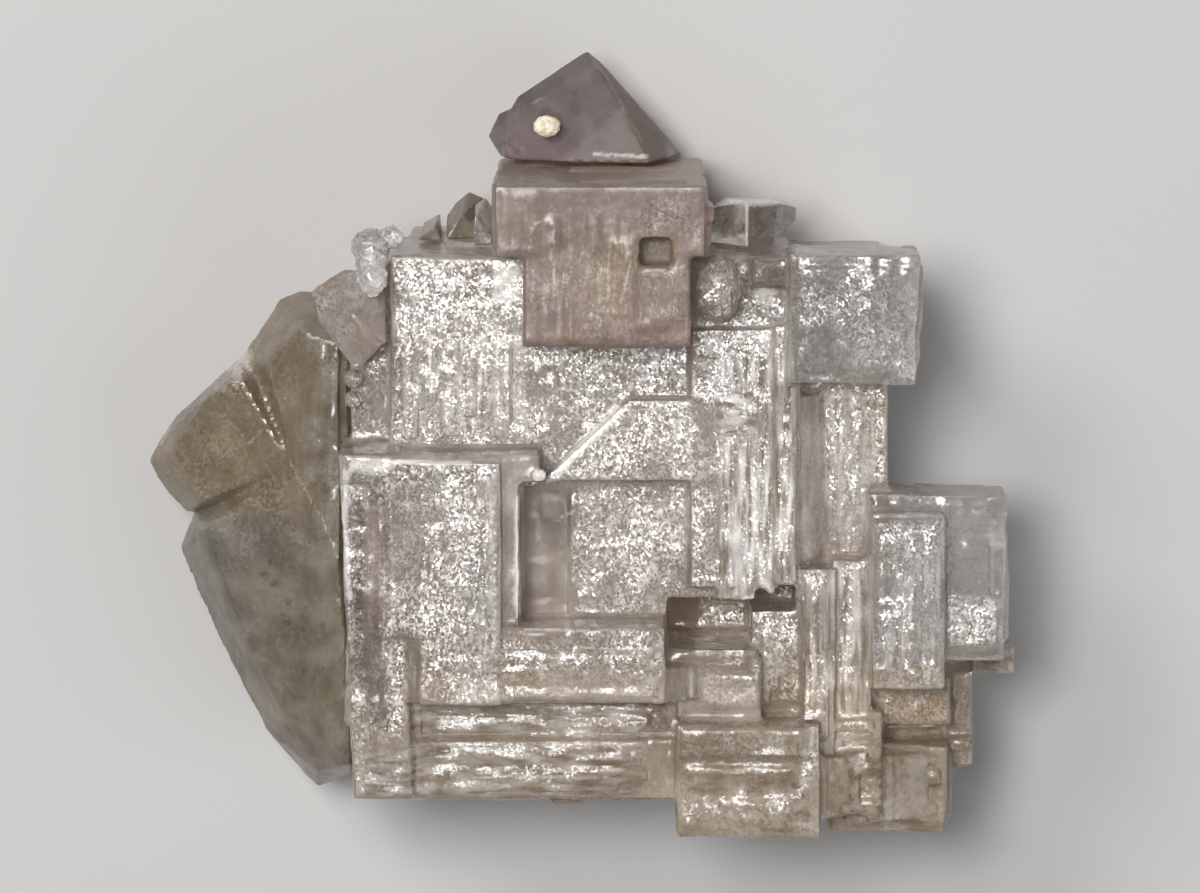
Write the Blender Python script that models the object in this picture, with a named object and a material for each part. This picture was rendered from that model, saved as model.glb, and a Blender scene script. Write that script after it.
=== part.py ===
"""Halite cluster: one big terraced cube crystal with smaller crystals grown on it.

It lies on its flat cleaved back, z = 0, with the grown faces up.
+X runs along its greatest length, +Y towards the pointed lilac crystal.
All sizes below are millimetres. MM turns them into metres.
"""
import bmesh
import bpy
from math import radians
from mathutils import Matrix, Vector

MM = 0.001
SEAM = 0.3                       # open growth seam between crystals that touch
CENTRE = (0.2, -0.3, 0.0)        # brings the middle of the outline to the origin

# Outline of the terraced crystal.
LEFT, RIGHT = -16.6, 21.2
BOTTOM, TOP = -24.0, 14.0
WAIST = 0.7                      # top of the raised lower-left terrace

# Heights of its growth levels above the cleaved back.
CORE = 16.0
FRAME = 17.5
WINDOW = 18.2
CENTRE_FACE = 19.2
FACE = 20.0
LEDGE = 21.0
STRIP = 22.6
RIM = 23.6
PLATEAU = 24.8

ARM_LEFT, ARM_RIGHT = -11.1, -5.6      # upright arm of the L-shaped plateau
FOOT_TOP, FOOT_BOTTOM = -11.3, -16.7   # its lower arm
FOOT_RIGHT = 5.8
COLUMN_SPLIT = 17.6                    # seam between the two upright columns
SMOKY_FACE = LEFT - SEAM - 0.05        # the smoky crystal's contact face, and where it ends
SMOKY_FOOT = LEFT + 0.4                # lower down, where the left rim leans inwards
ROSE_SEAT = TOP + SEAM                 # the rose crystal sits on the top side
ROSE_TOP = 19.4
LILAC_SEAT = ROSE_TOP + SEAM           # and the lilac crystal on the rose one

# Parallel cubes grown into one solid: spans along X, Y and Z, and a turn about Z in degrees.
TERRACES = {
    "core": ((LEFT + 1.3, RIGHT), (BOTTOM, TOP - 0.8), (0.0, CORE), 0),
    "upper_face": ((LEFT + 3.4, 14.6), (-0.9, TOP), (6.0, FACE), 0),
    "side_column": ((LEFT + 0.5, -13.0), (-2.4, 7.4), (1.2, CORE + 0.5), 0),
    "terrace_body": ((LEFT + 1.1, -4.0), (BOTTOM + 0.3, WAIST - 0.2), (7.0, STRIP - 0.5), 0),
    "left_rim": ((LEFT + 0.35, -12.1), (BOTTOM + 0.6, WAIST), (9.0, RIM), 2.2),
    "upper_rim": ((LEFT + 0.2, -2.9), (-1.2, WAIST - 0.1), (8.0, RIM + 0.4), 0),
    "plateau_arm": ((ARM_LEFT, ARM_RIGHT), (FOOT_BOTTOM, 0.2), (12.0, PLATEAU), 0),
    "plateau_foot": ((ARM_LEFT + 0.1, FOOT_RIGHT), (FOOT_BOTTOM + 0.1, FOOT_TOP),
                     (12.0, PLATEAU - 0.3), 0),
    "ledge": ((LEFT + 1.2, 6.9), (BOTTOM + 0.1, FOOT_TOP - 0.5), (8.0, LEDGE), 0),
    "lower_strip": ((LEFT + 1.0, 6.8), (BOTTOM + 0.4, -19.3), (8.2, STRIP), 0),
    "centre": ((-6.5, 15.2), (-12.9, -1.7), (4.0, CENTRE_FACE), 0),
    "striated": ((7.5, 15.1), (-10.0, 8.9), (6.2, FACE + 0.5), 0),
    "striated_ridge": ((13.4, 14.9), (-9.9, 9.2), (6.4, FACE + 1.1), 0),
    "right_column": ((14.8, RIGHT + 0.1), (-10.4, 6.0), (0.8, FRAME), 0),
    "clear_upper_cube": ((14.3, 23.2), (5.3, 14.3), (15.2, STRIP - 0.4), -1.2),
    "corner_step": ((11.8, 14.6), (12.0, TOP - 0.1), (8.6, FACE + 0.9), 0),
    "column_left": ((15.3, COLUMN_SPLIT), (-21.1, -7.8), (6.1, FACE + 0.7), 0),
    "column_right": ((COLUMN_SPLIT - 0.1, 20.1), (-24.2, -7.2), (5.0, FACE + 0.1), 0),
    "clear_lower_cube": ((19.9, 29.5), (-14.3, -2.8), (12.6, FACE - 0.5), -0.8),
    "clear_lower_block": ((20.2, 25.2), (-16.1, -3.8), (7.2, FACE + 1.5), 0),
    "spur": ((27.4, 30.2), (-15.7, -13.7), (9.8, CORE + 0.2), 0),
    "pit_block": ((11.9, 15.7), (-18.4, -11.7), (4.2, CENTRE_FACE - 0.2), 0),
    "pit_sill": ((6.7, 12.5), (-18.5, -14.0), (6.3, LEDGE + 0.5), 0),
    "foot_cube": ((6.6, 16.5), (-26.2, -18.3), (3.0, RIM - 0.3), 0),
    "under_cube": ((16.3, 20.9), (-25.1, -17.8), (2.2, FACE + 0.3), 0),
    "corner_cube": ((17.3, 25.5), (-26.6, -20.4), (2.0, WINDOW + 0.3), -1.5),
    "low_block": ((20.0, 27.4), (-22.6, -15.9), (0.9, CORE - 1.0), 0),
    "stained_block": ((20.3, 25.8), (-19.2, -15.8), (4.4, FRAME - 0.2), 0),
}

# The plate on the centre of the upper face, with one corner cut off aslant.
PLATE_OUTLINE = ((-2.7, -1.6), (3.4, 4.1), (7.8, 4.1), (10.3, -1.6))
PLATE_SPAN = (14.0, FACE + 0.8)

# Hollows left by growth or by dissolving, cut into the finished solid.
HOLLOWS = {
    "window": ((-4.2, -0.7), (FOOT_TOP - 0.1, -2.2), (WINDOW, PLATEAU + 5.0), 0),
    "deep_pit": ((5.9, 11.8), (-13.2, -9.1), (11.5, PLATEAU + 5.0), 0),
    "side_pit": ((11.5, 14.9), (-10.9, -8.8), (15.0, PLATEAU + 5.0), 0),
    "back_step_left": ((LEFT - 5.0, -9.0), (-20.0, TOP + 5.0), (-5.0, 1.4), 0),
    "back_step_right": ((15.5, RIGHT + 9.0), (-8.0, TOP + 5.0), (-5.0, 1.1), 0),
}

ROSE_BLOCKS = {
    "head": ((-5.9, 8.5), (ROSE_SEAT + 0.2, ROSE_TOP), (4.0, 26.0), 0),
    "apron": ((-4.0, 7.5), (8.3, ROSE_SEAT + 1.2), (FACE + SEAM, 25.8), 0),
    "side_step": ((-4.6, 8.7), (ROSE_SEAT, ROSE_TOP - 0.8), (5.5, 24.8), 0),
}
ROSE_PIT = ((4.0, 6.2), (13.9, 15.8), (23.6, 31.0), 0)

# Corner points of the crystals whose faces slope. Each set is closed by its convex hull.
SMOKY_TOE = (
    (-26.5, -6.1, 11.5), (-20.2, -1.3, 14.5), (SMOKY_FACE, -7.7, 16.0),
    (SMOKY_FOOT, -22.3, 14.5), (-18.7, -23.4, 11.5), (-21.1, -19.2, 11.5),
    (-23.4, -14.9, 11.5), (-25.6, -9.1, 11.5), (-28.4, -8.0, 7.5), (-27.6, -10.1, 7.5),
    (-25.0, -16.0, 7.5), (-22.4, -21.2, 7.5), (-18.8, -25.2, 7.5), (SMOKY_FOOT, -24.0, 8.0),
    (-27.4, -5.6, 7.5), (-24.0, -8.0, 1.6), (SMOKY_FACE, -2.0, 1.0), (SMOKY_FOOT, -20.0, 1.0),
    (-21.5, -15.0, 1.6),
)
SMOKY_TIP = (
    (-30.6, -1.9, 7.0), (-30.0, -0.6, 7.0), (-28.7, 1.3, 7.0), (-24.1, 5.6, 8.0),
    (-29.2, -4.3, 7.0), (-27.9, -5.3, 8.0), (-28.6, -0.7, 10.5), (-26.5, 3.0, 11.5),
    (-23.9, 4.7, 12.5), (-20.3, -1.3, 14.3), (-26.5, -4.1, 11.5), (-26.0, -1.0, 2.4),
    (-22.0, 2.0, 1.6), (SMOKY_FACE, -6.0, 1.4), (SMOKY_FACE, 1.0, 1.4),
)
SMOKY_SHOULDER = (
    (-23.9, 5.7, 8.0), (-23.0, 6.8, 8.0), (-22.2, 8.4, 8.7), (-21.3, 9.9, 9.0),
    (-19.7, 10.4, 9.0), (SMOKY_FACE, 10.2, 10.0), (-22.0, 6.0, 13.0), (-19.6, 8.3, 14.6),
    (SMOKY_FACE, 7.4, 15.6), (SMOKY_FACE, -7.5, 15.9), (-19.6, 2.0, 15.0),
    (-20.2, -1.3, 14.5), (-21.5, 5.0, 2.0), (SMOKY_FACE, 7.5, 1.5), (SMOKY_FACE, -4.0, 1.5),
)

LILAC_BODY = (
    (0.4, 27.2, 6.5), (0.9, 26.5, 8.2), (2.9, 23.5, 10.6), (4.8, LILAC_SEAT, 12.2),
    (-4.5, 24.0, 7.0), (-4.5, 23.5, 4.0), (-5.4, 22.4, 7.8), (-5.5, LILAC_SEAT, 8.5),
    (-1.5, LILAC_SEAT, 11.2), (1.3, 26.3, 5.0), (3.9, 23.3, 4.5), (6.6, 20.1, 4.5),
    (7.2, LILAC_SEAT, 5.2), (7.0, LILAC_SEAT, 3.4), (-4.6, LILAC_SEAT, 3.0),
)
LILAC_CHIP = (
    (-5.8, 22.8, 6.0), (-6.6, 21.1, 5.6), (-5.7, LILAC_SEAT, 6.0), (-4.4, 23.3, 6.0),
    (-4.3, 20.4, 9.3), (-5.9, 21.3, 7.8), (-4.3, 21.3, 4.4), (-5.4, LILAC_SEAT, 8.3),
)

GREY_TALL = (
    (-8.9, 16.6, 8.0), (-7.9, 17.4, 8.0), (-6.9, 17.0, 8.4), (-9.5, 15.8, 9.0),
    (-6.7, ROSE_SEAT, 10.2), (-9.5, ROSE_SEAT, 11.0), (-8.4, 16.0, 10.9),
    (-9.2, ROSE_SEAT, 6.4), (-6.6, ROSE_SEAT, 6.6),
)
GREY_LOW = (
    (-11.4, ROSE_SEAT, 11.4), (-11.0, 15.3, 9.4), (-10.0, 15.8, 8.2), (-9.85, ROSE_SEAT, 11.6),
    (-10.3, 15.3, 12.2), (-11.2, ROSE_SEAT, 7.2), (-9.9, ROSE_SEAT, 7.2),
)
GREY_PALE = (
    (-7.4, 16.7, 11.0), (-6.7, 17.2, 10.9), (-6.25, 16.5, 11.2), (-6.25, ROSE_SEAT, 14.0),
    (-7.6, ROSE_SEAT, 14.4), (-7.4, 16.1, 13.2), (-7.5, ROSE_SEAT, 11.5),
    (-6.25, ROSE_SEAT, 11.0),
)
PRISM = (
    (9.0, 16.6, 12.4), (10.0, 17.2, 11.0), (11.5, 17.4, 16.4), (13.7, 17.2, 14.6),
    (15.0, 16.6, 12.0), (15.0, 15.8, 12.2), (9.0, ROSE_SEAT, 13.4), (11.5, ROSE_SEAT, 16.8),
    (13.3, ROSE_SEAT, 15.4), (14.9, 15.8, 10.4), (9.1, ROSE_SEAT, 9.6),
    (13.2, ROSE_SEAT, 9.2), (13.9, 17.0, 9.8),
)
WEDGE = (
    (-18.8, 11.3, 17.0), (-16.6, 12.8, 17.4), (-13.55, 12.9, 18.2), (-13.55, 8.0, 19.4),
    (-14.6, 7.6, 19.4), (-14.7, 6.9, 19.0), (-15.2, 6.1, 18.2), (-16.1, 6.3, 17.6),
    (-18.2, 9.1, 17.4), (-15.8, 9.8, 19.7), (-18.2, 10.9, 16.4), (-14.0, 12.4, 16.9),
    (-14.2, 7.8, 16.9), (-15.8, 7.0, 16.9), (-17.6, 9.4, 16.4),
)

# Rounded grains: the centre and the three radii of each swelling.
ROUNDED = (((9.45, 12.1, 22.0), (1.6, 2.15, 1.6)), ((9.35, 11.0, 21.9), (1.45, 1.4, 1.5)))
FROSTED = (
    ((-14.6, 14.6, 19.3), (1.35, 1.2, 1.3)), ((-14.5, 13.7, 20.2), (1.2, 1.0, 0.95)),
    ((-14.4, 12.5, 20.7), (1.1, 1.2, 0.9)), ((-13.0, 15.2, 19.4), (0.75, 0.7, 0.8)),
)
BEADS = {
    "bead_crystal_upper": ((-15.85, 5.2, 17.6), (0.7, 0.7, 0.7)),
    "bead_crystal_lower": ((-15.9, 3.75, 17.5), (0.6, 0.62, 0.6)),
}
GRAIN = ((-2.4, 22.2, 10.9), (0.95, 0.75, 0.5))

# Colour, roughness and see-through share of each crystal.
LOOKS = {
    "main_crystal": ((0.72, 0.69, 0.65), 0.35, 0.85),
    "smoky_crystal": ((0.42, 0.36, 0.30), 0.20, 0.90),
    "rose_crystal": ((0.60, 0.44, 0.38), 0.25, 0.85),
    "lilac_crystal": ((0.42, 0.36, 0.38), 0.25, 0.85),
    "prism_crystal": ((0.55, 0.50, 0.48), 0.08, 0.95),
    "rounded_crystal": ((0.62, 0.56, 0.52), 0.15, 0.90),
    "wedge_crystal": ((0.55, 0.45, 0.42), 0.30, 0.80),
    "frosted_grain": ((0.75, 0.73, 0.74), 0.50, 0.60),
    "grey_crystal_tall": ((0.48, 0.44, 0.44), 0.20, 0.90),
    "grey_crystal_low": ((0.40, 0.35, 0.34), 0.20, 0.90),
    "grey_crystal_pale": ((0.60, 0.58, 0.60), 0.30, 0.85),
    "bead_crystal_upper": ((0.66, 0.60, 0.56), 0.12, 0.90),
    "bead_crystal_lower": ((0.66, 0.60, 0.56), 0.12, 0.90),
    "cream_grain": ((0.85, 0.80, 0.68), 0.80, 0.0),
}


def clear_scene():
    for old in list(bpy.data.objects):
        bpy.data.objects.remove(old, do_unlink=True)


def add_object(name, mesh):
    made = bpy.data.objects.new(name, mesh)
    bpy.context.scene.collection.objects.link(made)
    return made


def mesh_from(name, working):
    """Closes a working mesh off: outward faces, then a plain mesh of its own."""
    bmesh.ops.recalc_face_normals(working, faces=working.faces[:])
    mesh = bpy.data.meshes.new(name)
    working.to_mesh(mesh)
    working.free()
    return mesh


def block(name, span_x, span_y, span_z, turn):
    """A box given by its spans, turned about the upright line through its middle."""
    spans = (span_x, span_y, span_z)
    middle = Vector([(low + high) / 2 * MM for low, high in spans])
    size = Matrix.Diagonal([(high - low) * MM for low, high in spans] + [1.0])
    working = bmesh.new()
    bmesh.ops.create_cube(working, size=1.0, matrix=Matrix.Rotation(radians(turn), 4, "Z") @ size)
    made = add_object(name, mesh_from(name, working))
    made.location = middle
    return made


def hull(name, corners):
    """The crystal with flat faces whose corners are given."""
    working = bmesh.new()
    for corner in corners:
        working.verts.new(Vector(corner) * MM)
    closed = bmesh.ops.convex_hull(working, input=working.verts[:])
    spare = [v for v in set(closed["geom_interior"]) | set(closed["geom_unused"])
             if isinstance(v, bmesh.types.BMVert)]
    bmesh.ops.delete(working, geom=spare, context="VERTS")
    bmesh.ops.dissolve_limit(
        working, angle_limit=radians(0.5), verts=working.verts[:], edges=working.edges[:])
    return add_object(name, mesh_from(name, working))


def prism_plate(name, outline, span_z):
    """A flat plate: an outline drawn in plan, raised from the lower to the upper level."""
    low, high = span_z
    return hull(name, [(x, y, z) for z in (low, high) for x, y in outline])


def grain(name, middle, radii):
    """A rounded grain: a ball of flat facets, stretched to its three radii."""
    working = bmesh.new()
    stretch = Matrix.Diagonal([r * MM for r in radii] + [1.0])
    bmesh.ops.create_icosphere(working, subdivisions=2, radius=1.0, matrix=stretch)
    made = add_object(name, mesh_from(name, working))
    made.location = Vector(middle) * MM
    return made


def combine(body, tool, operation):
    """Joins a tool to a body, or cuts it out, and keeps the tool as a hidden guide."""
    step = body.modifiers.new(tool.name, "BOOLEAN")
    step.operation = operation
    step.solver = "EXACT"
    step.object = tool
    tool.hide_render = True
    tool.display_type = "WIRE"


def grow_together(name, shapes):
    """One crystal from shapes that overlap: the first one carries the others."""
    body = shapes[0]
    body.name = name
    for other in shapes[1:]:
        combine(body, other, "UNION")
    return body


def main_crystal():
    cubes = [block(label, *spans) for label, spans in TERRACES.items()]
    cubes.append(prism_plate("cut_corner_plate", PLATE_OUTLINE, PLATE_SPAN))
    body = grow_together("main_crystal", cubes)
    for label, spans in HOLLOWS.items():
        combine(body, block(label, *spans), "DIFFERENCE")
    return body


def smoky_crystal():
    return grow_together("smoky_crystal", [
        hull("smoky_toe", SMOKY_TOE),
        hull("smoky_tip", SMOKY_TIP),
        hull("smoky_shoulder", SMOKY_SHOULDER),
    ])


def rose_crystal():
    body = grow_together("rose_crystal", [block(k, *v) for k, v in ROSE_BLOCKS.items()])
    combine(body, block("rose_pit", *ROSE_PIT), "DIFFERENCE")
    return body


def lilac_crystal():
    return grow_together("lilac_crystal", [
        hull("lilac_body", LILAC_BODY),
        hull("lilac_chip", LILAC_CHIP),
    ])


def lumpy(name, swellings):
    return grow_together(name, [
        grain(f"{name}_{index}", middle, radii)
        for index, (middle, radii) in enumerate(swellings)
    ])


def dress(crystal):
    """Gives a crystal its own glassy material."""
    colour, roughness, clearness = LOOKS[crystal.name]
    material = bpy.data.materials.new(crystal.name)
    material.use_nodes = True
    shader = material.node_tree.nodes["Principled BSDF"]
    shader.inputs["Base Color"].default_value = (*colour, 1.0)
    shader.inputs["Roughness"].default_value = roughness
    shader.inputs["Metallic"].default_value = 0.0
    shader.inputs["IOR"].default_value = 1.544
    shader.inputs["Transmission Weight"].default_value = clearness
    crystal.data.materials.append(material)


def main():
    clear_scene()
    crystals = [
        main_crystal(),
        smoky_crystal(),
        rose_crystal(),
        lilac_crystal(),
        hull("prism_crystal", PRISM),
        lumpy("rounded_crystal", ROUNDED),
        hull("wedge_crystal", WEDGE),
        lumpy("frosted_grain", FROSTED),
        hull("grey_crystal_tall", GREY_TALL),
        hull("grey_crystal_low", GREY_LOW),
        hull("grey_crystal_pale", GREY_PALE),
        grain("cream_grain", *GRAIN),
    ]
    crystals += [grain(name, *shape) for name, shape in BEADS.items()]
    for crystal in crystals:
        dress(crystal)

    middle = bpy.data.objects.new("cluster_middle", None)
    bpy.context.scene.collection.objects.link(middle)
    for made in list(bpy.data.objects):
        if made is not middle:
            made.parent = middle
    middle.location = Vector(CENTRE) * MM


main()
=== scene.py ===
"""Looks of a halite cluster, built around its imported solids.

A terraced, clear cube crystal carries a smoky, a rose and a lilac crystal and several small
ones. Each solid is remeshed, etched by Geometry Nodes and given a see-through salt material.
Sizes here are millimetres, and MM turns them into Blender's metres.
"""
import math
import random

import bmesh
import bpy
import numpy as np
from mathutils import Matrix, Vector


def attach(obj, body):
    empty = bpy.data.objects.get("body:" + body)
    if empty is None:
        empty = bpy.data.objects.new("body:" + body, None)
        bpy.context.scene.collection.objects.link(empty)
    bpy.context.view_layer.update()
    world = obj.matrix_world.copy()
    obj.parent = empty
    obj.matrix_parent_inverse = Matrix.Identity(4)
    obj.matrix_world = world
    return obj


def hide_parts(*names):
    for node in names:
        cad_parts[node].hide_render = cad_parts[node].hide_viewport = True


MM = 0.001
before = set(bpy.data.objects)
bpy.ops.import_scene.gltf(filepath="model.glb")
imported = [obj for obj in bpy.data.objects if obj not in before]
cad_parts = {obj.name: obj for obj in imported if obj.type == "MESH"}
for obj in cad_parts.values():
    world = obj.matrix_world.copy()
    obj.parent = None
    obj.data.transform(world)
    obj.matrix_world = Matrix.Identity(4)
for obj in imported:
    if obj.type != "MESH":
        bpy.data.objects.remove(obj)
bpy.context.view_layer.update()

# ---- camera, floor and light

VIEW_TILT = math.radians(7.0)  # off straight down, towards the lilac crystal
VIEW_DISTANCE = 583.0
VIEW_WIDTH = 84.0  # width seen at the target
VIEW_TARGET = Vector((1.5, -0.3, 14.0))
VIEW_CLIP = (10, 10000)
SENSOR = 36.0

FLOOR_SIZE = 3000.0
FLOOR_GAP = 0.02  # keeps the floor just clear of the resting face
FLOOR_COLOUR = (0.50, 0.49, 0.48)

LAMPS = {
    # name: place, aimed at the cluster; square side; watts; colour
    "key": ((-330.0, 360.0, 520.0), 240.0, 2.0, (1.0, 0.97, 0.93)),
    "fill": ((420.0, -200.0, 480.0), 420.0, 0.95, (0.93, 0.96, 1.0)),
    "glint": ((-110.0, 130.0, 640.0), 180.0, 3.1, (1.0, 1.0, 1.0)),
}
SKY_COLOUR = (0.80, 0.82, 0.86)
SKY_STRENGTH = 0.18


def add_object(name, data):
    made = bpy.data.objects.new(name, data)
    bpy.context.scene.collection.objects.link(made)
    return made


def build_camera():
    data = bpy.data.cameras.new("view")
    data.sensor_width = SENSOR
    data.lens = SENSOR * VIEW_DISTANCE / VIEW_WIDTH
    data.clip_start, data.clip_end = (reach * MM for reach in VIEW_CLIP)
    camera = add_object("view", data)
    back = Vector((0.0, math.sin(VIEW_TILT), math.cos(VIEW_TILT)))
    camera.location = (VIEW_TARGET + back * VIEW_DISTANCE) * MM
    camera.rotation_euler = (-VIEW_TILT, 0.0, 0.0)
    bpy.context.scene.camera = camera


def build_lamps():
    for name, (place, side, watts, colour) in LAMPS.items():
        data = bpy.data.lights.new(name, "AREA")
        data.size = side * MM
        data.energy = watts
        data.color = colour
        lamp = add_object(name, data)
        lamp.location = Vector(place) * MM
        aim = (VIEW_TARGET - Vector(place)).to_track_quat("-Z", "Y")
        lamp.rotation_euler = aim.to_euler()


def build_sky():
    world = bpy.data.worlds.new("soft_sky")
    world.use_nodes = True
    sky = world.node_tree.nodes["Background"]
    sky.inputs["Color"].default_value = (*SKY_COLOUR, 1.0)
    sky.inputs["Strength"].default_value = SKY_STRENGTH
    bpy.context.scene.world = world


def build_floor():
    mesh = bpy.data.meshes.new("floor")
    half = FLOOR_SIZE / 2 * MM
    corners = [(-half, -half, 0.0), (half, -half, 0.0), (half, half, 0.0), (-half, half, 0.0)]
    mesh.from_pydata(corners, [], [(0, 1, 2, 3)])
    floor = add_object("floor", mesh)
    floor.location.z = -FLOOR_GAP * MM
    mesh.materials.append(plain("pale_floor", FLOOR_COLOUR, 0.7, 0.0))


def limit_light():
    """Plain colours, and as many bounces as light needs to get through the crystals."""
    scene = bpy.context.scene
    scene.view_settings.view_transform = "Standard"
    scene.cycles.max_bounces = 8
    scene.cycles.transmission_bounces = 7
    scene.cycles.diffuse_bounces = 3
    scene.cycles.glossy_bounces = 3


# ---- node helpers

class Graph:
    """Adds nodes to a tree and wires them in one call."""

    def __init__(self, tree):
        self.tree = tree

    def add(self, kind, inputs=None, **settings):
        node = self.tree.nodes.new(kind)
        for key, value in settings.items():
            setattr(node, key, value)
        for key, value in (inputs or {}).items():
            self.feed(node.inputs[key], value)
        return node

    def feed(self, socket, value):
        if isinstance(value, bpy.types.NodeSocket):
            self.tree.links.new(value, socket)
        elif isinstance(value, bpy.types.Node):
            self.tree.links.new(value.outputs[0], socket)
        else:
            socket.default_value = value

    def math(self, operation, first, second=0.5, clamp=False):
        return self.add("ShaderNodeMath", {0: first, 1: second},
                        operation=operation, use_clamp=clamp).outputs[0]

    def plus(self, first, second, clamp=False):
        return self.math("ADD", first, second, clamp)

    def minus(self, first, second, clamp=False):
        return self.math("SUBTRACT", first, second, clamp)

    def times(self, first, second):
        return self.math("MULTIPLY", first, second)

    def vector(self, operation, first, second=(0.0, 0.0, 0.0)):
        return self.add("ShaderNodeVectorMath", {0: first, 1: second},
                        operation=operation).outputs["Vector"]

    def scale(self, vector, factor):
        return self.add("ShaderNodeVectorMath", {0: vector, "Scale": factor},
                        operation="SCALE").outputs["Vector"]

    def sway(self, texture, amount):
        """A random offset that averages nothing, from a texture's colour."""
        around_zero = self.vector("SUBTRACT", texture.outputs["Color"], (0.5, 0.5, 0.5))
        return self.scale(around_zero, amount)

    def join(self, *numbers):
        return self.add("ShaderNodeCombineXYZ", dict(enumerate(numbers))).outputs[0]

    def mix(self, factor, first, second):
        return self.add("ShaderNodeMix", {0: factor, 2: first, 3: second},
                        data_type="FLOAT").outputs[0]

    def blend(self, factor, first, second, how="MIX"):
        return self.add("ShaderNodeMix", {0: factor, 6: first, 7: second},
                        data_type="RGBA", blend_type=how).outputs[2]

    def span(self, value, low, high, to_low=0.0, to_high=1.0):
        """Runs smoothly from to_low to to_high while the value runs from low to high."""
        return self.add("ShaderNodeMapRange", {0: value, 1: low, 2: high, 3: to_low, 4: to_high},
                        interpolation_type="SMOOTHSTEP").outputs[0]

    def noise(self, where, size, detail, rough):
        """Noise whose blotches are about `size` millimetres wide."""
        return self.add("ShaderNodeTexNoise", {"Vector": where, "Scale": 1.0 / (size * MM),
                                               "Detail": detail, "Roughness": rough})


def new_material(name):
    material = bpy.data.materials.new(name)
    material.use_nodes = True
    material.node_tree.nodes.clear()
    return material, Graph(material.node_tree)


def rgb(red, green, blue):
    return (red, green, blue, 1.0)


def plain(name, colour, rough, clear):
    material, g = new_material(name)
    shader = g.add("ShaderNodeBsdfPrincipled", {
        "Base Color": rgb(*colour), "Roughness": rough, "Transmission Weight": clear})
    g.add("ShaderNodeOutputMaterial", {"Surface": shader})
    return material


# ---- salt material

# A surface attribute for each way in which a face can differ, painted onto the points.
# frost: etched; upright, level: streaked; white: crushed or crusted in places, and painted
# highlights on edges, rims and corners in full light in others; dense: cloudy, so that less
# light gets through. The rest are tints; dark is real specks and cracks in places, and painted
# shade in pits, hollows, corners under ledges and on faces turned from the light in others.
TINTS = {
    "warm": (0.56, 0.42, 0.25),
    "rose": (0.43, 0.33, 0.29),
    "cool": (0.60, 0.65, 0.70),
    "stain": (0.62, 0.30, 0.10),
    "dark": (0.17, 0.13, 0.10),
}
SURFACE_TRAITS = ("frost", "upright", "level", "white", "dense", *TINTS)
PEPPER = (0.61, 0.52, 0.43)  # darkens some facets, and the troughs of streaks
# This white is also the colour of the painted highlights that the white trait lays on.
CRUST_AND_HIGHLIGHT = (0.98, 0.95, 0.91)  # white flecks and crests

HALITE_IOR = 1.544
FACET_LEAN, BROAD_LEAN = 0.31, 0.155  # how far etched facets, fine and broad, tip a face
BROAD_SCALE = 0.38  # the broad facets' scale, as a share of the fine ones'
GRAIN_SIZE, GRAIN_LEAN = 0.45, 0.11  # the slight waviness of every face
RIB_SIZE, RIB_LEAN = 0.42, 0.85  # streaks
RIB_RUN = 0.9  # how little a streak leans along its own run
ALONG_RIBS, INTO_FACE = 0.10, 0.5  # how far streaks are drawn out
WHITE_BLOCKS = 0.55  # how much light a white fleck holds back


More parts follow.
